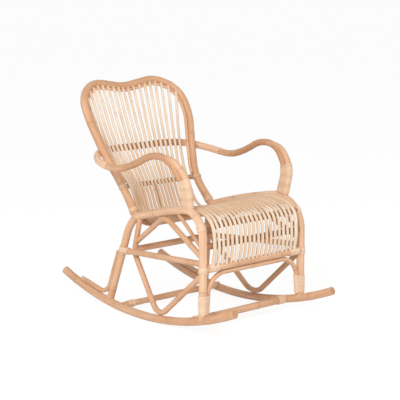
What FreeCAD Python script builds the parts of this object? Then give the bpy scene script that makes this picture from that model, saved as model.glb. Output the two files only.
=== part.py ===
"""Rattan rocking chair, built pole by pole.

Frame: millimetres, +Z up, the sitter faces -Y, the sitter's left is +X.
The origin is on the floor, under the middle of the chair's box.
Places are given as out (from the middle plane), back (towards +Y) and up (from the floor).
"""
import FreeCAD, Part
import math
import os

V = FreeCAD.Vector

# Driving sizes
SIZES = {
    # Pole diameters
    "rocker_diameter": 31,
    "leg_diameter": 30,
    "rear_leg_diameter": 28,
    "hoop_diameter": 30.5,
    "arm_diameter": 26,
    "arm_post_diameter": 24,
    "stretcher_diameter": 22,
    "apron_diameter": 22,
    "front_bar_diameter": 26,
    "rear_bar_diameter": 21,
    "rear_stretcher_diameter": 19,
    "lower_scroll_diameter": 20,
    "upper_scroll_diameter": 19,
    "arch_diameter": 18,
    "brace_diameter": 18,
    "rail_diameter": 20,
    "upper_front_rail_diameter": 22,
    "lower_front_rail_diameter": 24,
    "corner_brace_diameter": 14,
    "strut_diameter": 12,
    "slat_diameter": 11.5,
    "edge_slat_diameter": 14,
    "cane_diameter": 3.2,
    "dowel_diameter": 8,
    "dowel_length": 40,
    # Rockers and legs
    "rocker_spacing": 500,
    "rocker_curve_radius": 1340,
    "chair_length": 1020,
    "floor_contact_back": 25,
    "front_leg_forward": 335,
    "leg_corner_up": 474,
    "leg_bend": 136,
    "rail_arch_rise": 10,
    "rear_leg_back": 215,
    "rear_leg_bend": 120,
    # Side frames
    "stretcher_front_up": 274,
    "stretcher_rear_up": 238,
    "scroll_top_back": 82,
    "scroll_knee_back": 118,
    "scroll_knee_up": 236,
    "scroll_vee_back": -88,
    "scroll_front_up": 236,
    "scroll_bend": 60,
    "crown_rear_up": 275,
    "crown_back": -84,
    "crown_front_up": 294,
    "crown_bend": 70,
    "brace_top_up": 225,
    "brace_corner_up": 56,
    "brace_end_inset": 120,
    "brace_bend": 45,
    "corner_brace_forward": 165,
    "corner_brace_up": 325,
    # Bars between the sides
    "front_bar_forward": 265,
    "front_bar_rise": 1,
    "rear_bar_back": 130,
    "rear_bar_rise": 3.5,
    "rear_stretcher_up": 247,
    "apron_forward": 338,
    "apron_up": 251.5,
    "arch_foot_up": 84,
    "arch_bend": 84,
    # Seat rails
    "front_rail_inset": 10,
    "upper_front_rail_forward": 321,
    "upper_front_rail_up": 402,
    "lower_front_rail_forward": 332,
    "lower_front_rail_up": 335,
    "middle_rail_back": -70,
    "rear_rail_back": 105,
    "seat_rail_bend": 130,
    "back_rail_up": 480,
    "back_rail_bend": 160,
    "seat_strut_out": 78,
    "back_strut_out": 20,
    "back_strut_bow": 36,
    # Arms
    "arm_base_forward": 231,
    "arm_drop_bend": 110,
    "arm_post_spread": 12,
    "arm_post_bend": 140,
    "arm_post_shoulder": 0.8,
    "arm_post_shoulder_bend": 86,
    "arm_post_scarf": 0.5,
    # Slats
    "slat_count": 18,
    "crest_forward": 243,
    "crest_up": 458,
    "spread_hoop": 232,
    "spread_bow": 195,
    "spread_back_rail": 158,
    "spread_rear_rail": 160,
    "spread_middle_rail": 172,
    "spread_crest": 179,
    "spread_upper_rail": 185,
    "spread_lower_rail": 185,
    "edge_slat_middle_rail": 188,
    "edge_slat_crest": 200,
    "edge_slat_upper_rail": 207,
    "edge_slat_lower_rail": 207,
    "slat_tail": 40,
    "slat_inset": 4,
    "slat_lap": 5,
    "slat_head_drop": 7,
    # Fits and bindings
    "seat_depth": 0.4,
    "touch_gap": 0.1,
    "cane_pitch": 3.9,
    "arm_cane_pitch": 4.4,
    "cane_gap": 0.2,
    "arm_binding_turns": 20,
    "foot_binding_turns": 15,
    "apron_binding_turns": 2,
    "post_binding_turns": 4,
    "stretcher_binding_turns": 6,
    "bar_binding_turns": 9,
}

# Bend points as out, back and up, for the sitter's left side
PLACES = {
    "hoop_foot": (195, 113, 375),
    "hoop_knee": (185, 203, 480),
    "hoop_waist": (219, 260, 584),
    "hoop_flank": (256, 319, 728),
    "hoop_shoulder": (246, 380, 820),
    "hoop_lobe": (155, 428, 864),
    "hoop_dip": (69, 426, 850),
    "hoop_middle": (0, 436, 837),
    "rear_leg_knee": (206, 142, 333),
    "bow_middle": (0, 343, 608),
    "bow_side": (129, 337, 611),
    "bow_corner": (229, 318, 604),
    "arm_heel": (290, 223, 582),
    "arm_dip": (292, 109, 567),
    "arm_rise": (285, 14, 596),
    "arm_crest": (275, -83, 646),
    "arm_fall": (274, -173, 640),
    "arm_drop": (262, -237, 556),
    "middle_rail_dish": (130, -70, 398),
    "rear_rail_dish": (110, 152, 326),
    "back_rail_dish": (110, 256, 466),
}

SIDES = {"left": 1, "right": -1}

doc = FreeCAD.newDocument("RattanRockingChair")
sheet = doc.addObject("Spreadsheet::Sheet", "Sizes")


def fill_sheet():
    """Writes every driving size to the sheet, one aliased cell each."""
    cells = dict(SIZES)
    for name, place_values in PLACES.items():
        for suffix, value in zip(("out", "back", "up"), place_values):
            cells[name + "_" + suffix] = value
    for row, (alias, value) in enumerate(cells.items(), start=1):
        sheet.set("A%d" % row, alias.replace("_", " "))
        sheet.set("B%d" % row, str(value))
        sheet.setAlias("B%d" % row, alias)
    doc.recompute()


def size(alias):
    return float(sheet.get(alias))


def radius(alias):
    return size(alias + "_diameter") / 2


def place(name, side=1):
    return V(side * size(name + "_out"), size(name + "_back"), size(name + "_up"))


def along(start, end, fraction):
    return start + (end - start) * fraction


def unit(vector):
    return V(vector).normalize()


# Lines that poles follow
def arc_or_line(start, corner, end):
    """The arc that leaves start towards corner and arrives at end, or a line if they are in line."""
    middle = along(start, end, 0.5)
    half_chord = (end - start).Length / 2
    rise = (corner - middle).Length
    if rise < 1e-4 * half_chord:
        return Part.LineSegment(start, end).toShape()
    sagitta = half_chord * math.tan(math.atan2(rise, half_chord) / 2)
    return Part.Arc(start, middle + (corner - middle) * (sagitta / rise), end).toShape()


def bent_line(points, bends=None):
    """Straight runs joined by tangent arcs: each as large as the runs allow, or of the given radius."""
    edges = []
    start = points[0]
    last = len(points) - 1
    for index in range(1, last):
        corner = points[index]
        before = points[index - 1] - corner
        after = points[index + 1] - corner
        room_before = before.Length * (0.9 if index == 1 else 0.5)
        room_after = after.Length * (0.9 if index == last - 1 else 0.5)
        reach = min(room_before, room_after)
        bend = (bends or {}).get(index)
        if bend:
            turn = math.pi - before.getAngle(after)
            reach = min(reach, bend * math.tan(turn / 2))
        entry = corner + unit(before) * reach
        leave = corner + unit(after) * reach
        if (entry - start).Length > 0.01:
            edges.append(Part.LineSegment(start, entry).toShape())
        edges.append(arc_or_line(entry, corner, leave))
        start = leave
    if (points[last] - start).Length > 0.01:
        edges.append(Part.LineSegment(start, points[last]).toShape())
    return edges


def biarc_line(stations):
    """A smooth chain of arc pairs through stations, each a point and the direction of travel there."""
    edges = []
    for (start, leaving), (end, arriving) in zip(stations, stations[1:]):
        chord = end - start
        reach = solve_reach(chord, leaving, arriving)
        first = start + leaving * reach
        second = end - arriving * reach
        joint = along(first, second, 0.5)
        edges.append(arc_or_line(start, first, joint))
        edges.append(arc_or_line(joint, second, end))
    return edges


def solve_reach(chord, leaving, arriving):
    """The handle length that gives both arcs of a pair the same handles."""
    sum_direction = leaving + arriving
    square = 2 * (1 - leaving.dot(arriving))
    linear = chord.dot(sum_direction)
    length_square = chord.dot(chord)
    if square < 1e-9:
        return length_square / (2 * linear)
    return (math.sqrt(linear ** 2 + square * length_square) - linear) / square


def settle(build, fixed, distance, far, near):
    """The value between far and near at which the line from build(value) runs at distance from fixed."""
    for step in range(36):
        middle = (far + near) / 2
        if Part.Wire(build(middle)).distToShape(fixed)[0] > distance:
            far = middle
        else:
            near = middle
    return (far + near) / 2


def point_at(edges, axis, value):
    """The highest point of a line where one coordinate has a value, with the line's direction there."""
    points = Part.Wire(edges).discretize(Distance=1.0)
    found = None
    for start, end in zip(points, points[1:]):
        low, high = sorted((start[axis], end[axis]))
        if low <= value <= high and high > low:
            here = along(start, end, (value - start[axis]) / (end[axis] - start[axis]))
            if found is None or here.z > found[0].z:
                found = (here, unit(end - start))
    return found


# Solids
raw = {}
tools = {}
nodes = {}


def pole(node, edges, diameter, tools_of_node=()):
    """A round pole of one diameter, swept along a line of runs and arcs."""
    line = doc.addObject("Part::Feature", node + "_line")
    line.Shape = Part.Wire(edges)
    first = edges[0]
    ring = doc.addObject("Part::Circle", node + "_ring")
    ring.setExpression("Radius", "Sizes.%s_diameter / 2" % diameter)
    start = first.valueAt(first.FirstParameter)
    turn = FreeCAD.Rotation(V(0, 0, 1), first.tangentAt(first.FirstParameter))
    ring.Placement = FreeCAD.Placement(start, turn)
    sweep = doc.addObject("Part::Sweep", node + "_pole")
    sweep.Sections = [ring]
    sweep.Spine = (line, ["Edge%d" % (number + 1) for number in range(len(edges))])
    sweep.Solid = True
    sweep.Frenet = False
    raw[node] = sweep
    tools[node] = list(tools_of_node)
    return sweep


def bar(node, back, up, diameter, tools_of_node=(), inset=None):
    """A straight bar across the chair, from one rocker's plane to the other's or short of both."""
    cylinder = doc.addObject("Part::Cylinder", node + "_pole")
    cylinder.setExpression("Radius", "Sizes.%s_diameter / 2" % diameter)
    cylinder.setExpression("Height", "Sizes.rocker_spacing" + (" - 2 * Sizes." + inset if inset else ""))
    start = V(-size("rocker_spacing") / 2 + (size(inset) if inset else 0), back, up)
    cylinder.Placement = FreeCAD.Placement(start, FreeCAD.Rotation(V(0, 0, 1), V(1, 0, 0)))
    raw[node] = cylinder
    tools[node] = list(tools_of_node)


def both(name):
    return [name + "_left", name + "_right"]


dowels = []


def dowel(base, direction, holders):
    """A hidden dowel that starts just past base and runs along direction into the butting pole."""
    cylinder = doc.addObject("Part::Cylinder", "dowel")
    cylinder.setExpression("Radius", "Sizes.dowel_diameter / 2")
    cylinder.setExpression("Height", "Sizes.dowel_length")
    start = base - unit(direction) * (size("dowel_length") / 8)
    cylinder.Placement = FreeCAD.Placement(start, FreeCAD.Rotation(V(0, 0, 1), direction))
    dowels.append(cylinder)
    for holder in holders:
        tools[holder].append(cylinder)


def trim(node):
    """Cuts a pole where it seats on others and where dowels enter it."""
    shape = raw[node]
    for tool in tools[node]:
        cut = doc.addObject("Part::Cut", node + "_cut")
        cut.Base = shape
        cut.Tool = raw[tool] if isinstance(tool, str) else tool
        shape = cut
    shape.Label = node
    nodes[node] = shape


# Rockers and legs
def rocker_up(back):
    """Height of a rocker's axis above the floor."""
    curve = size("rocker_curve_radius")
    return radius("rocker") + curve - math.sqrt(curve ** 2 - (back - size("floor_contact_back")) ** 2)


def rocker_foot(side, back):
    return V(side * size("rocker_spacing") / 2, back, rocker_up(back))


def rocker_arc(side):
    ends = size("chair_length") / 2 - radius("rocker")
    points = [rocker_foot(side, back) for back in (-ends, size("floor_contact_back"), ends)]
    return Part.Arc(*points).toShape()


def make_rocker(name, side):
    node = "rocker_" + name
    outer = size("rocker_curve_radius") + radius("rocker")
    contact = size("floor_contact_back")
    front = math.degrees(math.asin((size("chair_length") / 2 + contact) / outer))
    rear = math.degrees(math.asin((size("chair_length") / 2 - contact) / outer))
    ring = doc.addObject("Part::Torus", node + "_pole")
    ring.setExpression("Radius1", "Sizes.rocker_curve_radius")
    ring.setExpression("Radius2", "Sizes.rocker_diameter / 2")
    ring.Angle3 = front + rear
    centre = V(side * size("rocker_spacing") / 2, contact, radius("rocker") + size("rocker_curve_radius"))
    start = V(0, -math.sin(math.radians(front)), -math.cos(math.radians(front)))
    turn = FreeCAD.Rotation(start, V(1, 0, 0).cross(start), V(1, 0, 0), "XYZ")
    ring.Placement = FreeCAD.Placement(centre, turn)
    raw[node] = ring
    tools[node] = []


def leg_points(side):
    forward = -size("front_leg_forward")
    corner = V(side * size("rocker_spacing") / 2, forward, size("leg_corner_up"))
    end = place("hoop_foot", side)
    arch = along(corner, end, 0.5) + V(0, 0, size("rail_arch_rise"))
    return [rocker_foot(side, forward), corner, arch, end]


def leg_line(side):
    return bent_line(leg_points(side), {1: size("leg_bend")})


def rail_point(side, back):
    """A point on the axis of the seat's side rail."""
    return point_at(leg_line(side), 1, back)[0]


def rear_leg_points(side):
    return [rocker_foot(side, size("rear_leg_back")), place("rear_leg_knee", side), place("hoop_foot", side)]


def rear_leg_point(side, up):
    foot, knee, end = rear_leg_points(side)
    return along(foot, knee, (up - foot.z) / (knee.z - foot.z))


def make_legs(name, side):
    rocker = "rocker_" + name
    leg = "front_leg_" + name
    pole(leg, leg_line(side), "leg", [rocker, "back_hoop"])
    rear = "rear_leg_" + name
    rear_line = bent_line(rear_leg_points(side), {1: size("rear_leg_bend")})
    pole(rear, rear_line, "rear_leg", [rocker, "back_hoop", leg])
    dowel(leg_points(side)[0], V(0, 0, 1), [rocker, leg])
    rear_foot, knee, rear_end = rear_leg_points(side)
    dowel(rear_foot, knee - rear_foot, [rocker, rear])
    dowel(rear_end, knee - rear_end, ["back_hoop", rear])


# Back
HOOP = ("hoop_foot", "hoop_knee", "hoop_waist", "hoop_flank", "hoop_shoulder", "hoop_lobe", "hoop_dip")


def hoop_line():
    left = [place(name) for name in HOOP]
    right = [place(name, -1) for name in reversed(HOOP)]
    left[0] = left[0] + unit(left[0] - left[1]) * (radius("hoop") / 2)
    right[-1] = V(-left[0].x, left[0].y, left[0].z)
    return bent_line(left + [place("hoop_middle")] + right)


def hoop_side_line(side):
    """The part of the hoop's line that the arm bow bears against."""
    return Part.Wire(bent_line([place(name, side) for name in HOOP]))


def splice_point(side):
    return along(place("arm_heel", side), place("arm_dip", side), 0.5)


def bow_line(corner_back):
    left = [splice_point(1), place("arm_heel"), V(size("bow_corner_out"), corner_back, size("bow_corner_up"))]
    left.append(place("bow_side"))
    right = [V(-point.x, point.y, point.z) for point in reversed(left)]
    return bent_line(left + [place("bow_middle")] + right)


def settled_bow_line():
    """The arm bow, bent so that it bears on the back of both hoop posts."""
    reach = radius("hoop") + radius("arm") - size("seat_depth")
    start = size("bow_corner_back")
    corner_back = settle(bow_line, hoop_side_line(1), reach, start + 60, start - 60)
    return bow_line(corner_back)


def back_rail_line():
    dish = place("back_rail_dish")
    end, direction = point_at(hoop_side_line(1).Edges, 2, size("back_rail_up"))
    points = [end, dish, V(-dish.x, dish.y, dish.z), V(-end.x, end.y, end.z)]
    return bent_line(points, {1: size("back_rail_bend"), 2: size("back_rail_bend")})


def make_back(lines):
    lines["back_hoop"] = hoop_line()
    pole("back_hoop", lines["back_hoop"], "hoop")
    lines["arm_bow"] = settled_bow_line()
    pole("arm_bow", lines["arm_bow"], "arm", ["back_hoop"])
    lines["back_rail"] = back_rail_line()
    pole("back_rail", lines["back_rail"], "rail", ["back_hoop"])


# Side frames
def stretcher_ends(side):
    front = V(side * size("rocker_spacing") / 2, -size("front_leg_forward"), size("stretcher_front_up"))
    return front, rear_leg_point(side, size("stretcher_rear_up"))


def scroll_points(side, inset, vee_up):
    """Top, knee, vee and front end of a lower scroll, whose knee is inset from the side stretcher."""
    front, rear = stretcher_ends(side)
    crossing = along(front, rear, (size("scroll_knee_back") - front.y) / (rear.y - front.y))
    knee = V(crossing.x - side * inset, size("scroll_knee_back"), size("scroll_knee_up"))
    vee = V(front.x, size("scroll_vee_back"), vee_up)
    end = V(front.x, front.y, size("scroll_front_up"))
    return [rail_point(side, size("scroll_top_back")), knee, vee, end]


def settled_scroll_points(side):
    bends = {1: size("scroll_bend"), 2: size("scroll_bend")}
    front, rear = stretcher_ends(side)
    beside = radius("lower_scroll") + radius("stretcher") + size("touch_gap")
    stretcher = Part.LineSegment(front, rear).toShape()
    rocker_top = rocker_up(size("scroll_vee_back")) + radius("rocker")

    def inset_line(inset):
        return bent_line(scroll_points(side, inset, rocker_top), bends)

    inset = settle(inset_line, stretcher, beside, 60, 0)
    resting = radius("lower_scroll") + radius("rocker") - size("seat_depth")

    def vee_line(vee_up):
        return bent_line(scroll_points(side, inset, vee_up), bends)

    vee_up = settle(vee_line, rocker_arc(side), resting, rocker_top + 90, rocker_top - 40)
    return scroll_points(side, inset, vee_up), bends


def crown_line(side, scroll, crown_up):
    """The upper scroll: from the lower scroll's post, up under the seat rail and down to the front leg."""
    top, knee = scroll[0], scroll[1]
    rear = along(knee, top, (size("crown_rear_up") - knee.z) / (top.z - knee.z))
    under_rail = rail_point(side, size("crown_back"))
    crown = V(under_rail.x, under_rail.y, crown_up)
    front = V(side * size("rocker_spacing") / 2, -size("front_leg_forward"), size("crown_front_up"))
    return bent_line([rear, crown, front], {1: size("crown_bend")})


def brace_end_back():
    return size("chair_length") / 2 - size("brace_end_inset")


def brace_line(side, end_up):
    """The rear brace: down the back of the rear leg, then along the top of the rocker."""
    foot, knee, end = rear_leg_points(side)
    down = unit(foot - knee)
    behind = unit(V(0, 1, 0) - down * down.y)
    offset = behind * (radius("rear_leg") + radius("brace") + size("touch_gap"))
    top = rear_leg_point(side, size("brace_top_up")) + offset
    corner = top + down * ((size("brace_corner_up") - top.z) / down.z)
    tail = V(side * size("rocker_spacing") / 2, brace_end_back(), end_up)
    return bent_line([top, corner, tail], {1: size("brace_bend")})


def make_side(name, side, lines):
    rocker = "rocker_" + name
    leg = "front_leg_" + name
    rear = "rear_leg_" + name
    front_end, rear_end = stretcher_ends(side)
    pole("side_stretcher_" + name, [Part.LineSegment(front_end, rear_end).toShape()], "stretcher", [leg, rear])
    scroll, bends = settled_scroll_points(side)
    lines["lower_scroll_" + name] = scroll
    lower = "lower_scroll_" + name
    pole(lower, bent_line(scroll, bends), "lower_scroll", [rocker, leg, "back_hoop", rear])
    rail_start = size("front_leg_forward") / 2
    rail = Part.makePolygon([rail_point(side, rail_start * (step / 12 - 1)) for step in range(13)])
    under = radius("leg") + radius("upper_scroll") - size("seat_depth")
    rail_up = rail_point(side, size("crown_back")).z
    crown_up = settle(lambda up: crown_line(side, scroll, up), rail, under, rail_up - 80, rail_up + 40)
    pole("upper_scroll_" + name, crown_line(side, scroll, crown_up), "upper_scroll", [leg, lower])
    bearing = radius("rocker") + radius("brace") - size("seat_depth")
    tail_up = rocker_up(brace_end_back()) + radius("rocker")
    end_up = settle(lambda up: brace_line(side, up), rocker_arc(side), bearing, tail_up + 60, tail_up)
    pole("rear_brace_" + name, brace_line(side, end_up), "brace", [rocker, rear])
    under_rail = rail_point(side, -size("corner_brace_forward"))
    behind_leg = V(front_end.x, front_end.y, size("corner_brace_up"))
    pole("corner_brace_" + name, [Part.LineSegment(under_rail, behind_leg).toShape()], "corner_brace", [leg])


# Bars, apron and arch between the sides
def make_cross_bars(lines):
    rockers = both("rocker")
    legs = both("front_leg")
    forward = -size("front_leg_forward")
    front_bar_back = -size("front_bar_forward")
    bar("front_bar", front_bar_back, rocker_up(front_bar_back) + size("front_bar_rise"), "front_bar", rockers)
    rear_bar_up = rocker_up(size("rear_bar_back")) + size("rear_bar_rise")
    bar("rear_bar", size("rear_bar_back"), rear_bar_up, "rear_bar", rockers)
    apron_back = -size("apron_forward")
    bar("front_apron", apron_back, size("apron_up"), "apron", legs)
    top, knee = lines["lower_scroll_left"][:2]
    post = along(knee, top, (size("rear_stretcher_up") - knee.z) / (top.z - knee.z))
    across = [Part.LineSegment(post, V(-post.x, post.y, post.z)).toShape()]
    pole("rear_stretcher", across, "rear_stretcher", both("lower_scroll"))
    out = size("rocker_spacing") / 2 - radius("leg") - radius("arch") - size("touch_gap")
    apart = radius("apron") + radius("arch") + size("touch_gap")
    up = size("apron_up") - math.sqrt(apart ** 2 - (apron_back - forward) ** 2)
    foot_up = size("arch_foot_up")
    points = [V(out, forward, foot_up), V(out, forward, up), V(-out, forward, up), V(-out, forward, foot_up)]
    pole("front_arch", bent_line(points, {1: size("arch_bend"), 2: size("arch_bend")}), "arch")
    for name, side in SIDES.items():
        inward = V(-side, 0, 0)
        half = side * size("rocker_spacing") / 2
        dowel(V(half, front_bar_back, rocker_up(front_bar_back) + size("front_bar_rise")), inward,
              ["rocker_" + name, "front_bar"])
        dowel(V(half, size("rear_bar_back"), rear_bar_up), inward, ["rocker_" + name, "rear_bar"])
        dowel(V(half, apron_back, size("apron_up")), inward, ["front_leg_" + name, "front_apron"])


# Seat rails
def dished_line(end, dish, bend):
    points = [end, dish, V(-dish.x, dish.y, dish.z), V(-end.x, end.y, end.z)]
    return bent_line(points, {1: bend, 2: bend})


def make_seat_rails(lines):
    legs = both("front_leg")
    for name in ("upper_front_rail", "lower_front_rail"):
        back = -size(name + "_forward")
        up = size(name + "_up")
        bar("seat_" + name, back, up, name, legs, "front_rail_inset")
        half = size("rocker_spacing") / 2
        lines["seat_" + name] = [Part.LineSegment(V(half, back, up), V(-half, back, up)).toShape()]
    bend = size("seat_rail_bend")
    middle = dished_line(rail_point(1, size("middle_rail_back")), place("middle_rail_dish"), bend)
    pole("seat_middle_rail", middle, "rail", legs)
    rear = dished_line(rail_point(1, size("rear_rail_back")), place("rear_rail_dish"), bend)
    pole("seat_rear_rail", rear, "rail", legs + ["back_hoop"] + both("rear_leg") + both("lower_scroll"))
    lines["seat_middle_rail"] = middle
    lines["seat_rear_rail"] = rear


def make_struts(lines):
    """Short struts behind the slats: one between the front rails, one under the back rail."""
    out = size("seat_strut_out")
    ends = [point_at(lines["seat_" + name], 0, out)[0] for name in ("upper_front_rail", "lower_front_rail")]
    front_rails = ["seat_upper_front_rail", "seat_lower_front_rail"]
    pole("seat_strut", [Part.LineSegment(*ends).toShape()], "strut", front_rails)
    ends = [point_at(lines[name], 0, size("back_strut_out"))[0] for name in ("back_rail", "seat_rear_rail")]
    chord = ends[1] - ends[0]
    away = unit(chord.cross(V(1, 0, 0)))
    if away.z > 0:
        away = away * -1
    middle = along(ends[0], ends[1], 0.5) + away * size("back_strut_bow")
    pole("back_strut", bent_line([ends[0], middle, ends[1]]), "strut", ["back_rail", "seat_rear_rail"])


# Arms
def arm_points(side):
    base, direction = point_at(leg_line(side), 1, -size("arm_base_forward"))
    upper = [place(name, side) for name in ("arm_dip", "arm_rise", "arm_crest", "arm_fall", "arm_drop")]
    return [splice_point(side)] + upper + [base]


def arm_post_points(side):
    """The second pole of an arm front: it runs up outside the arm's last bend and is scarfed into it."""
    crest, fall, drop, base = arm_points(side)[-4:]
    first = unit(drop - fall)
    second = unit(base - drop)
    turn = first.dot(second)
    outside_first = unit(first * turn - second)
    outside_second = unit(first - second * turn)
    gap = radius("arm") + radius("arm_post") + size("touch_gap")
    top = along(fall, crest, size("arm_post_scarf"))
    shoulder = along(drop, fall, size("arm_post_shoulder")) + outside_first * gap
    widest = gap + size("arm_post_spread")
    corner = drop + (outside_first + outside_second) * (widest / (1 + outside_first.dot(outside_second)))
    return [top, shoulder, corner, base + outside_second * gap + second * (radius("arm") / 2)]


def arm_post_line(side):
    return bent_line(arm_post_points(side), {1: size("arm_post_shoulder_bend"), 2: size("arm_post_bend")})


def make_arm(name, side, lines):
    leg = "front_leg_" + name
    arm = "arm_" + name
    points = arm_points(side)
    drop_bend = size("arm_drop_bend")
    pole(arm, bent_line(points, {5: drop_bend}), "arm", [leg])
    lines["arm_post_" + name] = arm_post_line(side)
    pole("arm_post_" + name, lines["arm_post_" + name], "arm_post", [leg, arm])
    lines["arm_front_" + name] = bent_line(points[:-4:-1], {1: drop_bend})
    heel_to_dip = place("arm_dip", side) - place("arm_heel", side)
    splice = splice_point(side)
    dowel(splice - unit(heel_to_dip) * (size("dowel_length") * 3 / 8), heel_to_dip, ["arm_bow", arm])
    dowel(points[-1], points[-2] - points[-1], [leg, arm])


# Slats
SLAT_RAILS = (
    ("back_hoop", "hoop", "hoop"),
    ("arm_bow", "bow", "arm"),
    ("back_rail", "back_rail", "rail"),
    ("seat_rear_rail", "rear_rail", "rail"),
    ("seat_middle_rail", "middle_rail", "rail"),
    (None, "crest", None),
    ("seat_upper_front_rail", "upper_rail", "upper_front_rail"),
    ("seat_lower_front_rail", "lower_rail", "lower_front_rail"),
)


def slat_line(lines, rails, out_at, slat_radius):
    """A slat that lies on each of the rails in turn and ends in front of the apron."""
    sitter_side = V(0, -1, 1)
    supports = []
    for rail, spread, diameter in rails:
        out = out_at(spread)
        if rail is None:
            supports.append((V(out, -size("crest_forward"), size("crest_up")), None, 0))
            continue
        axis_point, rail_direction = point_at(lines[rail], 0, out)
        clear = -size("slat_lap") if rail == "back_hoop" else size("touch_gap")
        supports.append((axis_point, rail_direction, radius(diameter) + slat_radius + clear))
    apron_back = -size("apron_forward") - size("slat_inset") * 3 / 4
    supports.append((V(out_at("lower_rail"), apron_back, size("apron_up")), None, 0))
    points = [support[0] for support in supports]
    for round_number in range(6):
        travel = directions_through(points)
        points = []
        for (axis_point, rail_direction, lift), direction in zip(supports, travel):
            if rail_direction is None:
                points.append(axis_point)
                continue
            normal = unit(direction.cross(rail_direction))
            if normal.dot(sitter_side) < 0:
                normal = normal * -1
            points.append(axis_point + normal * lift)
    if rails[0][0] == "back_hoop":
        points[0] = points[0] + unit(points[1] - points[0]) * size("slat_head_drop")
    else:
        points.insert(0, points[0] + unit(points[0] - points[1]) * size("slat_tail"))
    travel = directions_through(points)
    return biarc_line(list(zip(points, travel)))


def directions_through(points):
    """The direction of travel at each point: half way between those of the runs beside it."""
    runs = [unit(end - start) for start, end in zip(points, points[1:])]
    middle = [unit(before + after) for before, after in zip(runs, runs[1:])]
    return [runs[0]] + middle + [runs[-1]]


def make_slats(lines):
    """Long slats from the hoop to the apron, and a thicker one beside them on each side of the seat."""
    count = int(size("slat_count"))
    groups = {"slats": [], "edge_slats": []}
    for index in range(count):
        share = 1 - 2 * index / (count - 1)
        line = slat_line(lines, SLAT_RAILS, lambda spread: share * size("spread_" + spread), radius("slat"))
        groups["slats"].append(pole("slat_%d" % index, line, "slat"))
    for name, side in SIDES.items():
        rails = SLAT_RAILS[4:]
        line = slat_line(lines, rails, lambda spread: side * size("edge_slat_" + spread), radius("edge_slat"))
        groups["edge_slats"].append(pole("slat_edge_" + name, line, "edge_slat"))
    for group, members in groups.items():
        bundle = doc.addObject("Part::Compound", group + "_bundle")
        bundle.Links = members
        raw[group] = bundle
        tools[group] = ["back_hoop", "front_apron"]


# Bindings
def straight_frame(origin, axis, towards, apart=0):
    """A straight pole to wind: its line, the direction to the pole beside it and how far that one is."""
    axis = unit(axis)
    towards = unit(towards - axis * axis.dot(towards))
    return lambda height: (origin + axis * height, axis, towards, apart)


def bent_frame(edges, beside, start):
    """A bent pole to wind, from a distance along its line, with the pole that slants away beside it."""
    beside_line = Part.Wire(beside)

    def frame_at(height):
        left = start + height
        for edge in edges:
            if left <= edge.Length:
                break
            left -= edge.Length
        parameter = edge.getParameterByLength(left)
        origin = edge.valueAt(parameter)
        axis = edge.tangentAt(parameter)
        nearest = beside_line.distToShape(Part.Vertex(origin))[1][0][0] - origin
        slant = unit(axis - nearest * (axis.dot(nearest) / nearest.dot(nearest)))
        crossing = nearest - slant * (axis.dot(nearest) / axis.dot(slant))
        return origin, axis, unit(crossing), crossing.Length

    return frame_at


def loop_lengths(first_ring, second_ring, apart):
    """One turn of cane: the lengths of its arc on the first pole, a straight run and its second arc."""
    lean = (first_ring - second_ring) / apart if apart else 0
    swing = math.asin(lean)
    first_arc = first_ring * (math.pi + 2 * swing)
    second_arc = second_ring * (math.pi - 2 * swing)
    return first_arc, apart * math.cos(swing), second_arc


def winding_stations(frame_at, first_ring, second_ring, turns, pitch):
    """Points and directions of a cane wound along a pole, round it alone or with the one beside it."""
    stations = []
    for turn in range(turns + 1):
        apart = frame_at(pitch * turn)[3]
        first_arc, run, second_arc = loop_lengths(first_ring, second_ring, apart)
        perimeter = first_arc + second_arc + 2 * run
        loop = [(0, 1, 0), (0, -1, first_arc)]
        if apart:
            loop += [(1, -1, first_arc + run), (1, 1, first_arc + run + second_arc)]
        for pole_number, hand, travelled in loop[:1] if turn == turns else loop:
            origin, axis, towards, apart = frame_at(pitch * (turn + travelled / perimeter))
            lean = (first_ring - second_ring) / apart if apart else 0
            out = towards * lean + axis.cross(towards) * (hand * math.sqrt(1 - lean ** 2))
            ring = second_ring if pole_number else first_ring
            point = origin + towards * (apart * pole_number) + out * ring
            stations.append((point, unit(axis.cross(out) + axis * (pitch / perimeter))))
    return stations


def least_gap(edges, perimeter):
    """Least clear distance between neighbouring turns, measured on points along the cane."""
    points = Part.Wire(edges).discretize(Distance=2.0)
    apart = max(2, int(perimeter / 2.0 / 2))
    least = min((a - b).Length for i, a in enumerate(points) for b in points[i + apart:i + 3 * apart])
    return least - size("cane_diameter")


def winding(node, frame_at, first, second=None, turns="", pitch="cane_pitch"):
    """One unbroken cane wound round a pole, or round two poles that lie side by side."""
    lift = radius("cane") + size("cane_gap")
    first_ring = radius(first) + lift
    second_ring = radius(second) + lift if second else first_ring
    stations = winding_stations(frame_at, first_ring, second_ring, int(size(turns)), size(pitch))
    edges = biarc_line(stations)
    tail = size("cane_diameter")
    start, leaving = stations[0]
    end, arriving = stations[-1]
    edges.insert(0, Part.LineSegment(start - leaving * tail, start).toShape())
    edges.append(Part.LineSegment(end, end + arriving * tail).toShape())
    perimeter = 2 * math.pi * first_ring + 2 * frame_at(0)[3]
    print("%s least gap to itself %.2f mm" % (node, least_gap(edges, perimeter)))
    pole(node, edges, "cane")


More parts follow.
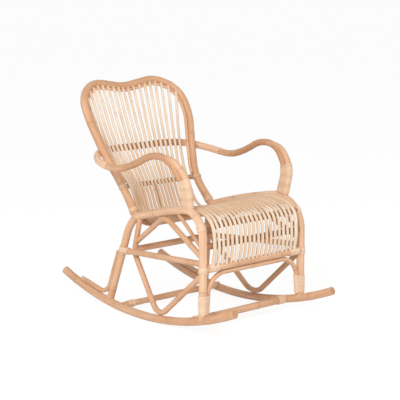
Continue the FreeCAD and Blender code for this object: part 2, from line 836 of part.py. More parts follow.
def make_bindings(name, side, lines):
    clear = radius("cane") + 2
    inward = V(-side, 0, 0)
    upward = V(0, 0, 1)
    half = side * size("rocker_spacing") / 2
    forward = -size("front_leg_forward")
    arm_start = radius("leg") + size("arm_cane_pitch") * 2
    arm_front = bent_frame(lines["arm_front_" + name], lines["arm_post_" + name], arm_start)
    winding("arm_binding_" + name, arm_front, "arm", "arm_post", "arm_binding_turns", "arm_cane_pitch")
    foot_slope = radius("leg") * abs(forward - size("floor_contact_back")) / size("rocker_curve_radius")
    foot = V(half, forward, rocker_up(forward) + radius("rocker") + foot_slope + clear)
    foot_apart = radius("leg") + radius("arch") + size("touch_gap")
    foot_frame = straight_frame(foot, upward, inward, foot_apart)
    winding("foot_binding_" + name, foot_frame, "leg", "arch", "foot_binding_turns")
    apron_end = V(half, -size("apron_forward"), size("apron_up")) + inward * (radius("leg") + clear)
    apron_frame = straight_frame(apron_end, inward, upward)
    winding("apron_binding_" + name, apron_frame, "apron", turns="apron_binding_turns")
    hoop_foot = place("hoop_foot", side)
    up_post = unit(place("hoop_knee", side) - hoop_foot)
    post_frame = straight_frame(hoop_foot + up_post * (radius("leg") + clear), up_post, V(0, -1, 0))
    winding("post_binding_" + name, post_frame, "hoop", turns="post_binding_turns")
    front, rear = stretcher_ends(side)
    to_front = unit(front - rear)
    rear_frame = straight_frame(rear + to_front * (radius("rear_leg") + clear), to_front, upward)
    winding("stretcher_binding_" + name, rear_frame, "stretcher", turns="stretcher_binding_turns")
    for bar_name, back in (("front_bar", -size("front_bar_forward")), ("rear_bar", size("rear_bar_back"))):
        up = rocker_up(back) + size(bar_name + "_rise")
        start = V(half, back, up) + inward * (radius("rocker") + clear)
        bar_frame = straight_frame(start, inward, upward)
        winding("%s_binding_%s" % (bar_name, name), bar_frame, bar_name, turns="bar_binding_turns")


# The whole chair
def make_chair():
    lines = {}
    for name, side in SIDES.items():
        make_rocker(name, side)
    make_back(lines)
    for name, side in SIDES.items():
        make_legs(name, side)
        make_side(name, side, lines)
    make_cross_bars(lines)
    make_seat_rails(lines)
    make_struts(lines)
    for name, side in SIDES.items():
        make_arm(name, side, lines)
        make_bindings(name, side, lines)
    make_slats(lines)
    for node in list(raw):
        if not node.startswith("slat_"):
            trim(node)
    pins = doc.addObject("Part::Compound", "dowel_set")
    pins.Links = dowels
    pins.Label = "joint_dowels"
    nodes["joint_dowels"] = pins


def check_and_export():
    doc.recompute()
    for item in doc.Objects:
        if "Invalid" in item.State or "Error" in item.State:
            raise RuntimeError("object failed: " + item.Label)
    for node, item in nodes.items():
        if item.Shape.isNull() or not item.Shape.isValid():
            raise RuntimeError("bad shape: " + node)
    os.makedirs("parts", exist_ok=True)
    for node, item in nodes.items():
        item.Shape.exportStep("parts/%s.step" % node)


fill_sheet()
make_chair()
check_and_export()
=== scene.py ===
"""Looks of the rattan rocking chair: its poles, slats and cane are rebuilt along the frame's lines."""
import bisect
import math
import random
import bpy
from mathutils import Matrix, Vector


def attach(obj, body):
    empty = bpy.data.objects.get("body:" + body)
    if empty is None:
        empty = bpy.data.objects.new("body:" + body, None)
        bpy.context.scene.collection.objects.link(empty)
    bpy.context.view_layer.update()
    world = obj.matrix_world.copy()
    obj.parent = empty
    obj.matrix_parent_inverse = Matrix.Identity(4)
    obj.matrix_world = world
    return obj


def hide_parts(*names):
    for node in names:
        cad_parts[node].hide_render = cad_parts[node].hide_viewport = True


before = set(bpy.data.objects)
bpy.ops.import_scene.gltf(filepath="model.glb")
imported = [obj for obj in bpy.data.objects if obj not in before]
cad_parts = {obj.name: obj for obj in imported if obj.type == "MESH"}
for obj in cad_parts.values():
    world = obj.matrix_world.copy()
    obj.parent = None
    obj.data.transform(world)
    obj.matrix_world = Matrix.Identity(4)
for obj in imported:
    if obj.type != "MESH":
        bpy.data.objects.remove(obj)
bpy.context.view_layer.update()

# Lengths are in millimetres, as in the part's source, and become metres in the meshes
MM = 0.001
OUT, BACK, UP = 0, 1, 2
SIDES = {"left": 1, "right": -1}
DIAMETER = {
    "rocker": 31, "leg": 30, "rear_leg": 29.5, "hoop": 31, "arm": 26, "bow": 28, "arm_post": 24,
    "stretcher": 23, "apron": 25, "front_bar": 28, "rear_bar": 24, "rear_stretcher": 25,
    "lower_scroll": 21.5, "upper_scroll": 20.5, "arch": 18, "brace": 18, "corner_brace": 14,
    "rail": 20, "upper_rail": 26, "lower_rail": 24, "strut": 12, "slat": 11.5, "edge_slat": 14,
}

# Gap between a slat or a strip of cane and the pole under it
TOUCH = 0.1

# Rockers: arcs of one circle, which touches the floor a little behind the middle
HALF_SPACING = 250
HALF_LENGTH = 510
CURVE_RADIUS = 1340
CONTACT_BACK = 25
ROCKER_STEPS = 240


def radius(name):
    return DIAMETER[name] / 2


def on_side(points, side):
    return [Vector((side * x, y, z)) for x, y, z in points]


def rocker_up(back):
    """The height of a rocker's middle line at a place along the chair."""
    return radius("rocker") + CURVE_RADIUS - math.sqrt(CURVE_RADIUS ** 2 - (back - CONTACT_BACK) ** 2)


# Bend points on the sitter's left, as out, back and up, and radii of bends tighter than their runs allow
HOOP = [(195.6, 108, 369.2), (185, 203, 480), (219, 260, 584), (256, 319, 728), (246, 380, 820),
        (155, 428, 864), (69, 426, 850), (0, 436, 837)]
HOOP_FOOT = (195, 113, 375)
LEG_BACK = -335
LEG = [(HALF_SPACING, LEG_BACK, 64.8), (HALF_SPACING, LEG_BACK, 474)]
LEG_RUN = {1: (216.2, -60, 430), -1: (222.5, -111, 434.5)}
LEG_BEND = 136
REAR_LEG = [(HALF_SPACING, 215, 29), (206, 142, 333), HOOP_FOOT]
REAR_LEG_BEND = 120
STRETCHER = [(HALF_SPACING, LEG_BACK, 274), (219.8, 164.8, 238)]
LOWER_SCROLL = [(198.8, 82, 383.2), (200.7, 118, 236), (248, -82, 24.5)]
LOWER_SCROLL_END = {1: (HALF_SPACING, LEG_BACK, 252), -1: (HALF_SPACING, LEG_BACK, 236)}
LOWER_SCROLL_BEND = 60
UPPER_SCROLL = [(200.2, 108.5, 275), (219.2, -88, 409.5), (HALF_SPACING, LEG_BACK, 294)]
UPPER_SCROLL_BEND = 70
BRACE = [(220.9, 190.4, 230.3), (246.1, 232.3, 56), (HALF_SPACING, 390, 91.2)]
BRACE_BEND = 45
CORNER_BRACE_BACK = -165
CORNER_BRACE_UP = 325
SPLICE = (291, 166, 574.5)
ARM = [SPLICE, (292, 109, 567), (285, 14, 596), (275, -83, 646), (274, -174.5, 640.5), (261.5, -239, 556.5),
       (237.2, -231, 455.3)]
ARM_FALL_BEND = 110
ARM_POST = [(272, -128, 642), (269.5, -202.5, 636), (260.2, -267, 563.5), (238.3, -255.5, 446.9)]
ARM_POST_BENDS = (86, 140)
BOW = [SPLICE, (290, 223, 582), (229, 312.4, 603), (129, 337, 608.5), (0, 343, 605)]
ARCH = [(234.5, LEG_BACK, 84), (222, LEG_BACK, 231.6)]
ARCH_BEND = 84
MIDDLE_RAIL = [(217.5, -70, 422.6), (130, -70, 398)]
REAR_RAIL = [(196, 105, 377.1), (110, 152, 326)]
SEAT_RAIL_BEND = 130
BACK_RAIL = [(190.3, 199.2, 480), (110, 256, 466)]
BACK_RAIL_BEND = 160

# Straight poles across the chair, as back and up
APRON = (-338, 253.5)
UPPER_RAIL = (-316.5, 405)
LOWER_RAIL = (-332, 335)
FRONT_RAIL_END = 240
FRONT_BAR_BACK = -265
FRONT_BAR_LIFT = 1
FRONT_BAR = (FRONT_BAR_BACK, rocker_up(FRONT_BAR_BACK) + FRONT_BAR_LIFT)
REAR_BAR_BACK = 130
REAR_BAR_LIFT = 11
REAR_BAR = (REAR_BAR_BACK, rocker_up(REAR_BAR_BACK) + REAR_BAR_LIFT)
REAR_STRETCHER = (115.3, 247)
REAR_STRETCHER_END = 200.6

# Small struts behind the slats
SEAT_STRUT_OUT = 78
BACK_STRUT_OUT = 20
BACK_STRUT_BOW = 36

# Lines: the step of points on an arc, and the share of an end run or an inner run that an arc may take
ARC_STEP = 3.0
LEAST_ARC_STEPS = 3
END_SHARE = 0.9
INNER_SHARE = 0.5
NEARLY_STRAIGHT = 1e-4
NEARLY_PARALLEL = 1e-7


def along(start, end, share):
    return start + (end - start) * share


def arc(start, corner, end):
    """Points of the arc that leaves start towards corner and arrives at end."""
    half_chord = (end - start).length / 2
    rise = (corner - along(start, end, 0.5)).length
    if rise < NEARLY_STRAIGHT * half_chord:
        return [start, end]
    half_turn = math.atan2(rise, half_chord)
    weight = math.cos(half_turn)
    count = max(LEAST_ARC_STEPS, math.ceil(2 * half_turn * half_chord / math.sin(half_turn) / ARC_STEP))
    points = []
    for index in range(count + 1):
        part = index / count
        shares = ((1 - part) ** 2, 2 * weight * part * (1 - part), part ** 2)
        points.append((start * shares[0] + corner * shares[1] + end * shares[2]) / sum(shares))
    return points


def bent(points, bends=None):
    """Straight runs joined by tangent arcs, as large as the runs allow or of the given radius."""
    last = len(points) - 1
    line = [points[0]]
    for index in range(1, last):
        corner = points[index]
        before = points[index - 1] - corner
        after = points[index + 1] - corner
        before_share = END_SHARE if index == 1 else INNER_SHARE
        after_share = END_SHARE if index == last - 1 else INNER_SHARE
        reach = min(before.length * before_share, after.length * after_share)
        bend = (bends or {}).get(index)
        if bend:
            reach = min(reach, bend * math.tan((math.pi - before.angle(after)) / 2))
        line += arc(corner + before.normalized() * reach, corner, corner + after.normalized() * reach)
    return line + [points[last]]


def biarc(stations):
    """A smooth chain of arc pairs through points with directions."""
    line = [stations[0][0]]
    for (start, leaving), (end, arriving) in zip(stations, stations[1:]):
        chord = end - start
        square = 2 * (1 - leaving.dot(arriving))
        linear = chord.dot(leaving + arriving)
        if square < NEARLY_PARALLEL:
            reach = chord.length_squared / (2 * linear)
        else:
            reach = (math.sqrt(linear ** 2 + square * chord.length_squared) - linear) / square
        first = start + leaving * reach
        second = end - arriving * reach
        joint = along(first, second, 0.5)
        line += arc(start, first, joint)[1:] + arc(joint, second, end)[1:]
    return line


def both_sides(half, middle=None):
    left = [Vector(point) for point in half]
    right = [Vector((-point.x, point.y, point.z)) for point in reversed(left)]
    return left + ([Vector(middle)] if middle else []) + right


def across(place, out=HALF_SPACING):
    return [Vector((out, *place)), Vector((-out, *place))]


def point_at(line, axis, value):
    """The highest point of a line where a coordinate has a value, and the line's direction there."""
    found = None
    for start, end in zip(line, line[1:]):
        low, high = sorted((start[axis], end[axis]))
        if low <= value <= high and high > low:
            here = along(start, end, (value - start[axis]) / (end[axis] - start[axis]))
            if found is None or here.z > found[0].z:
                found = (here, (end - start).normalized())
    return found


def lengths(line):
    total = [0.0]
    for start, end in zip(line, line[1:]):
        total.append(total[-1] + (end - start).length)
    return total


def distance_to(line, axis, value):
    """How far along a line a coordinate first has a value."""
    for (start, end), before in zip(zip(line, line[1:]), lengths(line)):
        low, high = sorted((start[axis], end[axis]))
        if low <= value <= high and high > low:
            return before + (end - start).length * (value - start[axis]) / (end[axis] - start[axis])
    return 0.0


def walk(line, stops):
    """Points and directions at given distances along a line."""
    total = lengths(line)
    result = []
    index = 0
    for stop in stops:
        while index < len(line) - 2 and total[index + 1] < stop:
            index += 1
        run = total[index + 1] - total[index]
        share = (stop - total[index]) / run if run else 0
        here = along(line[index], line[index + 1], share)
        direction = line[index + 1] - line[index]
        if 0 < index and share < 0.5:
            direction = direction.normalized() + (line[index] - line[index - 1]).normalized() * (0.5 - share)
        elif index < len(line) - 2 and share >= 0.5:
            following = line[index + 2] - line[index + 1]
            direction = direction.normalized() + following.normalized() * (share - 0.5)
        result.append((here, direction.normalized()))
    return result


# Meshes
class Skin:
    """One piece's mesh, with the values that its material reads."""

    def __init__(self):
        self.points = []
        self.faces = []
        self.grain = []
        self.values = {"ring": [], "knot": [], "tone": []}
        self.tips = []

    def ring_of(self, points, grain, ring, knot, tone):
        start = len(self.points)
        self.points += points
        self.grain += grain
        for name, value in (("ring", ring), ("knot", knot), ("tone", tone)):
            self.values[name] += [value] * len(points)
        return start

    def join(self, first, second, sides):
        for index in range(sides):
            after = (index + 1) % sides
            self.faces.append((first + index, first + after, second + after, second + index))
            self.tips.append(0.0)

    def cap(self, first, sides, centre, grain, tone, flip):
        middle = self.ring_of([centre], [grain], 0.0, 0.0, tone)
        for index in range(sides):
            after = (index + 1) % sides
            face = (first + index, first + after, middle)
            self.faces.append(face[::-1] if flip else face)
            self.tips.append(1.0)

    def piece(self, name, material, slot, *nodes):
        mesh = bpy.data.meshes.new(name)
        mesh.from_pydata([tuple(point * MM) for point in self.points], [], self.faces)
        mesh.polygons.foreach_set("use_smooth", [tip < 0.5 for tip in self.tips])
        grain = mesh.attributes.new("grain", "FLOAT_VECTOR", "POINT")
        grain.data.foreach_set("vector", [value * MM for vector in self.grain for value in vector])
        for key, values in self.values.items():
            mesh.attributes.new(key, "FLOAT", "POINT").data.foreach_set("value", values)
        mesh.attributes.new("tip", "FLOAT", "FACE").data.foreach_set("value", self.tips)
        mesh.materials.append(material)
        mesh.update()
        piece = bpy.data.objects.new(name, mesh)
        bpy.context.scene.collection.objects.link(piece)
        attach(piece, "root")
        if nodes:
            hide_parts(*nodes)


# A pole's joints: rings beside each, and how far its swelling, its scar and its darker zone spread
JOINT_RINGS = (-9, -5, -2.2, -1.1, 0, 1.1, 2.2, 5, 9)
FIRST_JOINT = (0.25, 0.9)
JOINT_TO_END = 25
SWELL_SPREAD = 8.0
SWELL_SHIFT = 3
SCAR_SPREAD = 1.3
SCAR_DEPTH = 0.75
KNOT_SPREAD = 16.0

# A pole's rings and rounded ends, the slight waves of its thickness, and its shift in the grain
LEAST_STEP = 0.35
ROUNDED_END = 1.4
END_SIZE = 0.9
WAVER = 0.006
WAVER_LENGTH = 47.0
OVAL = 0.008
OVAL_LENGTH = 160.0
PHASES = (0, 6.28)
GRAIN_ACROSS = 500
GRAIN_ALONG = 3000


def grain_shift(chance):
    """A place of its own in the grain for each rod or strip, so that no two look alike."""
    return Vector([chance.uniform(-reach, reach) for reach in (GRAIN_ACROSS, GRAIN_ACROSS, GRAIN_ALONG)])


def joint_places(chance, total, spacing):
    places = []
    place = chance.uniform(*FIRST_JOINT) * spacing[0]
    while place < total - JOINT_TO_END:
        places.append(place)
        place += chance.uniform(*spacing)
    return places


def ring_stops(total, joints, step):
    """Where a tube has its rings: at even steps, closer at the joints, and just before each end."""
    count = max(2, round(total / step))
    stops = {total * index / count for index in range(count + 1)}
    for joint in joints:
        stops.update(joint + offset for offset in JOINT_RINGS)
    end = min(ROUNDED_END, total / 4)
    stops.update((end, total - end))
    stops = sorted(stop for stop in stops if 0 <= stop <= total)
    stops = [stop for index, stop in enumerate(stops) if index == 0 or stop - stops[index - 1] > LEAST_STEP]
    stops[-1] = total
    return stops


def bumps(place, joints, spread):
    return sum(math.exp(-((place - joint) / spread) ** 2) for joint in joints)


def tone_at(tone, point):
    """A tone is one number, or a function of the place on the pole."""
    return tone(point) if callable(tone) else tone


def add_tube(skin, line, size, seed, tone, sides=22, step=6.0, spacing=(190, 330), swell=0.045, taper=0.02):
    """A rattan pole along a line: it tapers a little and has swollen joints, each with a ring scar."""
    chance = random.Random(seed)
    total = lengths(line)[-1]
    joints = joint_places(chance, total, spacing)
    stops = ring_stops(total, joints, step)
    shift = grain_shift(chance)
    lean = chance.choice((-1, 1))
    phase = chance.uniform(*PHASES)
    normal = None
    rings = []
    for stop, (centre, direction) in zip(stops, walk(line, stops)):
        if normal is None:
            normal = direction.orthogonal().normalized()
        normal = (normal - direction * normal.dot(direction)).normalized()
        binormal = direction.cross(normal)
        swelling = bumps(stop + lean * SWELL_SHIFT, joints, SWELL_SPREAD)
        scar = bumps(stop, joints, SCAR_SPREAD)
        knot = bumps(stop, joints, KNOT_SPREAD)
        here = size * (1 + lean * taper * (stop / total - 0.5) + swell * (swelling - SCAR_DEPTH * scar))
        here *= 1 + WAVER * math.sin(stop / WAVER_LENGTH + phase)
        if stop == 0 or stop == total:
            here *= END_SIZE
        points = []
        grain = []
        for index in range(sides):
            angle = 2 * math.pi * index / sides
            reach = here * (1 + OVAL * math.sin(2 * angle + phase + stop / OVAL_LENGTH))
            flat = Vector((math.cos(angle) * size, math.sin(angle) * size, stop))
            points.append(centre + (normal * math.cos(angle) + binormal * math.sin(angle)) * reach)
            grain.append(flat + shift)
        ring = skin.ring_of(points, grain, min(scar, 1.0), min(knot, 1.0), tone_at(tone, centre))
        rings.append((ring, centre))
    for (first, _), (second, _) in zip(rings, rings[1:]):
        skin.join(first, second, sides)
    for (first, centre), flip in ((rings[0], True), (rings[-1], False)):
        skin.cap(first, sides, centre, shift.copy(), tone_at(tone, centre), flip)


# Split cane: its section as shares of width and thickness, flat inside and crowned outside
CANE_PITCH = 3.9
CANE_COVER = 0.96
CANE_THICK = 2.4
CANE_SECTION = ((0.5, -0.25), (0.5, 0.1), (0.42, 0.3), (0.22, 0.46), (0.0, 0.5), (-0.22, 0.46), (-0.42, 0.3),
                (-0.5, 0.1), (-0.5, -0.25), (-0.38, -0.45), (0.38, -0.45))
CANE_STEP = 2.0
CANE_END_SIZE = 0.55
CANE_WAVER = 0.03
CANE_WAVER_LENGTH = 23.0
CANE_TONE = 0.18
CANE_TONE_LENGTH = 190.0
TURN_STEPS = 40


def between(first, second, share):
    return tuple(start + (end - start) * share for start, end in zip(first, second))


def outline(first_ring, second_ring, apart, count):
    """Even steps round one pole, or round two side by side, as distances towards the second and across."""
    turn = math.acos((first_ring - second_ring) / apart) if apart else math.pi / 2
    run = apart * math.sin(turn)
    first_arc = first_ring * (2 * math.pi - 2 * turn)
    second_arc = second_ring * 2 * turn
    corners = ((0, 1), (0, -1), (apart, -1), (apart, 1))
    places = [(x + ring * math.cos(turn), y * ring * math.sin(turn))
              for (x, y), ring in zip(corners, (first_ring, first_ring, second_ring, second_ring))]
    steps = []
    for index in range(count):
        rest = (first_arc + second_arc + 2 * run) * index / count
        if rest < first_arc:
            angle = turn + rest / first_ring
            steps.append((first_ring * math.cos(angle), first_ring * math.sin(angle)))
            continue
        rest -= first_arc
        if rest < run:
            steps.append(between(places[1], places[2], rest / run))
            continue
        rest -= run
        if rest < second_arc:
            angle = rest / second_ring - turn
            steps.append((apart + second_ring * math.cos(angle), second_ring * math.sin(angle)))
            continue
        steps.append(between(places[3], places[0], (rest - second_arc) / run))
    return steps


def add_strip(skin, line, axes, widths, seed, tone):
    """A strip of split cane along a line, its flat side to the pole and its bark side a little crowned."""
    shift = grain_shift(random.Random(seed))
    run = lengths(line)
    total = run[-1]
    count = max(2, round(total / CANE_STEP))
    stops = [total * index / count for index in range(count + 1)]
    rings = []
    for stop, (centre, direction) in zip(stops, walk(line, stops)):
        nearest = min(bisect.bisect_left(run, stop), len(axes) - 1)
        axis = axes[nearest]
        flat = (axis - direction * axis.dot(direction)).normalized()
        out = flat.cross(direction)
        fade = CANE_END_SIZE if stop in (0, total) else 1.0
        wide = widths[nearest] * (1 + CANE_WAVER * math.sin(stop / CANE_WAVER_LENGTH + seed)) * fade
        thick = CANE_THICK * fade
        points = [centre + flat * (x * wide) + out * (y * thick) for x, y in CANE_SECTION]
        grain = [shift + Vector((x * widths[nearest], y * CANE_THICK, stop)) for x, y in CANE_SECTION]
        pale = tone + CANE_TONE * math.sin(stop / CANE_TONE_LENGTH + seed)
        rings.append((skin.ring_of(points, grain, 0.0, 0.0, pale), centre))
    sides = len(CANE_SECTION)
    for (first, _), (second, _) in zip(rings, rings[1:]):
        skin.join(first, second, sides)
    for (first, centre), flip in ((rings[0], True), (rings[-1], False)):
        skin.cap(first, sides, centre, shift.copy(), tone, flip)


def crossing(line, centre, axis):
    """The way from a point to the nearest place where a line passes through the plane square to an axis."""
    found = None
    for start, end in zip(line, line[1:]):
        before = (start - centre).dot(axis)
        after = (end - centre).dot(axis)
        if before * after <= 0 and before != after:
            way = along(start, end, before / (before - after)) - centre
            if found is None or way.length < found.length:
                found = way
    return found


def wind(skin, line, start, beside, first, second, turns, seed, tone):
    """Cane wound closely along a pole's line; beside is a second pole's line, or else a direction."""
    lift = CANE_THICK / 2 + TOUCH
    first_ring = radius(first) + lift
    second_ring = radius(second) + lift if second else first_ring
    stops = [start + CANE_PITCH * index / TURN_STEPS for index in range(turns * TURN_STEPS + 1)]
    points = []
    axes = []
    for index, (centre, axis) in enumerate(walk(line, stops)):
        way = crossing(beside, centre, axis) if second else beside - axis * axis.dot(beside)
        steps = outline(first_ring, second_ring, way.length if second else 0, TURN_STEPS)
        near, side_way = steps[index % TURN_STEPS]
        points.append(centre + way.normalized() * near + axis.cross(way.normalized()) * side_way)
        axes.append(axis)
    widths = [CANE_COVER * (after - here).length for here, after in zip(points, points[TURN_STEPS:])]
    widths += widths[-TURN_STEPS - 1:]
    add_strip(skin, points, axes, widths, seed, tone)


# Patterns of the materials: cycles a metre, two across the grain and one along it, and levels of detail
BLOTCHES = ((34, 34, 7), 2)
FIBRES = ((900, 900, 16), 4)
STREAKS = ((330, 330, 5), 2)
FLECKS = ((620, 620, 42), 3)
DOWEL_FIBRES = ((500, 500, 60), 3)
NOISE_RANGE = (0.3, 0.7)
NOISE_ROUGHNESS = 0.6

# How strongly the patterns show in rattan's tone, cut ends, roughness and relief
BLOTCH_TONE = 0.3
PORE_CYCLES = 900
PORE_EDGE = (0.1, 0.5)
PORE_SHARE = 0.8
SMOOTHER = 0.07
ROUGHER = 0.09
RELIEF_DEPTH = 0.5
STREAK_RELIEF = 0.7

# Dowels, which stay hidden
DOWEL_PALE = (0.62, 0.40, 0.22)
DOWEL_DARK = (0.45, 0.26, 0.13)
DOWEL_ROUGHNESS = (0.5, 0.7)


class Graph:
    """The nodes of a material or of the world, with short calls for the kinds that are used here."""

    def __init__(self, tree):
        self.nodes = tree.nodes
        self.links = tree.links

    def feed(self, socket, value):
        """A number, a colour or another node's output goes into a socket."""
        if isinstance(value, (int, float)):
            socket.default_value = value
        elif isinstance(value, tuple):
            socket.default_value = (*value, 1)
        else:
            self.links.new(value, socket)

    def attribute(self, name, output="Fac"):
        node = self.nodes.new("ShaderNodeAttribute")
        node.attribute_name = name
        return node.outputs[output]

    def calculate(self, operation, first, second):
        node = self.nodes.new("ShaderNodeMath")
        node.operation = operation
        self.feed(node.inputs[0], first)
        self.feed(node.inputs[1], second)
        return node.outputs[0]

    def mix(self, share, first, second):
        node = self.nodes.new("ShaderNodeMix")
        node.data_type = "RGBA"
        for socket, value in ((node.inputs[0], share), (node.inputs[6], first), (node.inputs[7], second)):
            self.feed(socket, value)
        return node.outputs[2]

    def noise(self, vector, cycles, detail):
        """Noise of a given number of cycles a metre across and along the grain."""
        stretch = self.nodes.new("ShaderNodeVectorMath")
        stretch.operation = "MULTIPLY"
        self.links.new(vector, stretch.inputs[0])
        stretch.inputs[1].default_value = cycles
        noise = self.nodes.new("ShaderNodeTexNoise")
        noise.inputs["Scale"].default_value = 1.0
        noise.inputs["Detail"].default_value = detail
        noise.inputs["Roughness"].default_value = NOISE_ROUGHNESS
        self.links.new(stretch.outputs[0], noise.inputs["Vector"])
        return noise.outputs["Fac"]

    def remap(self, value, low, high, to_low, to_high):
        node = self.nodes.new("ShaderNodeMapRange")
        for socket, number in zip(node.inputs[1:5], (low, high, to_low, to_high)):
            socket.default_value = number
        self.links.new(value, node.inputs[0])
        return node.outputs[0]


def new_material(name):
    material = bpy.data.materials.new(name)
    material.use_nodes = True
    graph = Graph(material.node_tree)
    return material, graph, graph.nodes["Principled BSDF"]


def rattan(name, ripe, pale, fibre, fleck, scar, ringed, rough, gloss, bump):
    """Peeled rattan: long fibres, blotches, brown flecks, ring scars at the joints and porous cut ends."""
    material, graph, bsdf = new_material(name)
    grain = graph.attribute("grain", "Vector")
    tone = graph.attribute("tone")
    blotches = graph.noise(grain, *BLOTCHES)
    fibres = graph.noise(grain, *FIBRES)
    streaks = graph.noise(grain, *STREAKS)
    flecks = graph.noise(grain, *FLECKS)
    share = graph.calculate("ADD", tone, graph.remap(blotches, *NOISE_RANGE, -BLOTCH_TONE, BLOTCH_TONE))
    colour = graph.mix(share, ripe, pale)
    # Each pattern with the noise where it starts and where it is full, its greatest share and its colour
    patterns = (
        (streaks, 0.38, 0.75, 0.55, fibre),
        (fibres, 0.4, 0.8, 0.45, fibre),
        (flecks, 0.66, 0.8, 0.5, fleck),
    )
    for pattern, low, high, most, shade in patterns:
        colour = graph.mix(graph.remap(pattern, low, high, 0.0, most), colour, shade)
    for mark, most, shade in (("knot", ringed / 2, fibre), ("ring", ringed, scar)):
        colour = graph.mix(graph.calculate("MULTIPLY", graph.attribute(mark), most), colour, shade)
    pores = graph.nodes.new("ShaderNodeTexVoronoi")
    pores.inputs["Scale"].default_value = PORE_CYCLES
    graph.links.new(grain, pores.inputs["Vector"])
    cut_end = graph.mix(graph.remap(pores.outputs["Distance"], *PORE_EDGE, PORE_SHARE, 0.0), fibre, scar)
    colour = graph.mix(graph.attribute("tip"), colour, cut_end)
    # Tones below 0 darken the colour towards the scar colour: painted shade on the poles behind and under the
    # slats and at the slat heads, and a darker colour on the arm and some lashings
    colour = graph.mix(graph.remap(tone, -1.0, 0.0, 0.0, 1.0), scar, colour)
    graph.links.new(colour, bsdf.inputs["Base Color"])
    roughness = graph.remap(fibres, *NOISE_RANGE, rough - SMOOTHER, rough + ROUGHER)
    graph.links.new(roughness, bsdf.inputs["Roughness"])
    bsdf.inputs["Specular IOR Level"].default_value = gloss
    relief = graph.nodes.new("ShaderNodeBump")
    relief.inputs["Strength"].default_value = bump
    relief.inputs["Distance"].default_value = RELIEF_DEPTH * MM
    height = graph.calculate("ADD", fibres, graph.calculate("MULTIPLY", streaks, STREAK_RELIEF))
    graph.links.new(height, relief.inputs["Height"])
    graph.links.new(relief.outputs["Normal"], bsdf.inputs["Normal"])
    return material


def dowel_wood():
    material, graph, bsdf = new_material("dowel_wood")
    place = graph.nodes.new("ShaderNodeTexCoord").outputs["Object"]
    fibres = graph.noise(place, *DOWEL_FIBRES)
    graph.links.new(graph.mix(fibres, DOWEL_PALE, DOWEL_DARK), bsdf.inputs["Base Color"])
    graph.links.new(graph.remap(fibres, *NOISE_RANGE, *DOWEL_ROUGHNESS), bsdf.inputs["Roughness"])
    return material


POLE = rattan(
    "pole_rattan", ripe=(0.64, 0.35, 0.19), pale=(0.93, 0.64, 0.435), fibre=(0.56, 0.285, 0.14),
    fleck=(0.33, 0.15, 0.065), scar=(0.21, 0.085, 0.03), ringed=0.4, rough=0.46, gloss=0.45, bump=0.25,
)
SLAT = rattan(
    "slat_rattan", ripe=(0.75, 0.525, 0.345), pale=(0.915, 0.805, 0.67), fibre=(0.66, 0.435, 0.27),
    fleck=(0.5, 0.29, 0.15), scar=(0.44, 0.25, 0.13), ringed=0.22, rough=0.55, gloss=0.35, bump=0.2,
)
CANE = rattan(
    "cane_binding", ripe=(0.82, 0.565, 0.38), pale=(0.92, 0.715, 0.54), fibre=(0.73, 0.48, 0.30),
    fleck=(0.55, 0.31, 0.15), scar=(0.4, 0.2, 0.09), ringed=0.0, rough=0.42, gloss=0.5, bump=0.18,
)


# Lines of the single poles, and of the poles of one side
def rail_line(half, bend):
    return bent(both_sides(half), {1: bend, 2: bend})


LINES = {
    "back_hoop": bent(both_sides(HOOP[:-1], HOOP[-1])),
    "arm_bow": bent(both_sides(BOW[:-1], BOW[-1])),
    "back_rail": rail_line(BACK_RAIL, BACK_RAIL_BEND),
    "seat_middle_rail": rail_line(MIDDLE_RAIL, SEAT_RAIL_BEND),
    "seat_rear_rail": rail_line(REAR_RAIL, SEAT_RAIL_BEND),
    "seat_upper_front_rail": across(UPPER_RAIL, FRONT_RAIL_END),
    "seat_lower_front_rail": across(LOWER_RAIL, FRONT_RAIL_END),
    "front_arch": rail_line(ARCH, ARCH_BEND),
}


def side_line(points, side, *bends):
    """A pole of one side, with a radius for each of its bends."""
    return bent(on_side(points, side), dict(enumerate(bends, start=1)))


def rocker_line(side):
    outer = CURVE_RADIUS + radius("rocker")
    front = -math.asin((HALF_LENGTH + CONTACT_BACK) / outer)
    rear = math.asin((HALF_LENGTH - CONTACT_BACK) / outer)
    line = []
    for index in range(ROCKER_STEPS + 1):
        angle = front + (rear - front) * index / ROCKER_STEPS
        up = radius("rocker") + CURVE_RADIUS * (1 - math.cos(angle))
        line.append(Vector((side * HALF_SPACING, CONTACT_BACK + CURVE_RADIUS * math.sin(angle), up)))
    return line


def leg_line(side):
    """A front leg and the seat rail that it runs on into; the left one was bent a little rounder."""
    return side_line(LEG + [LEG_RUN[side], HOOP_FOOT], side, LEG_BEND)


def rear_leg_line(side):
    return side_line(REAR_LEG, side, REAR_LEG_BEND)


def lower_scroll_line(side):
    """An inner rear post and its vee; the left one meets its leg a little higher."""
    return side_line(LOWER_SCROLL + [LOWER_SCROLL_END[side]], side, LOWER_SCROLL_BEND, LOWER_SCROLL_BEND)


def arm_line(side):
    return bent(on_side(ARM, side), {len(ARM) - 2: ARM_FALL_BEND})


def arm_post_line(side):
    return side_line(ARM_POST, side, *ARM_POST_BENDS)


def corner_brace_line(side):
    leg_end = Vector((side * HALF_SPACING, LEG_BACK, CORNER_BRACE_UP))
    return [point_at(leg_line(side), BACK, CORNER_BRACE_BACK)[0], leg_end]


# Poles, with their tones: 0 is ripe, 1 is pale, and below 0 the pole is darkened towards brown, as painted
# shade where the slats cover it and as a darker colour on the arm
POLE_SEED = 101
TONE_FADE = 40
# Painted shade on the bow behind the slats
BOW_PAINTED_SHADE = -0.35
BOW_PALER = 1.35
BOW_COVERED = 190
ARM_BROWN = -0.13
ARM_PALER = 0.37
ARM_PALER_FROM = 40
ARM_FADE = 100


def clamp(value):
    return min(1.0, max(0.0, value))


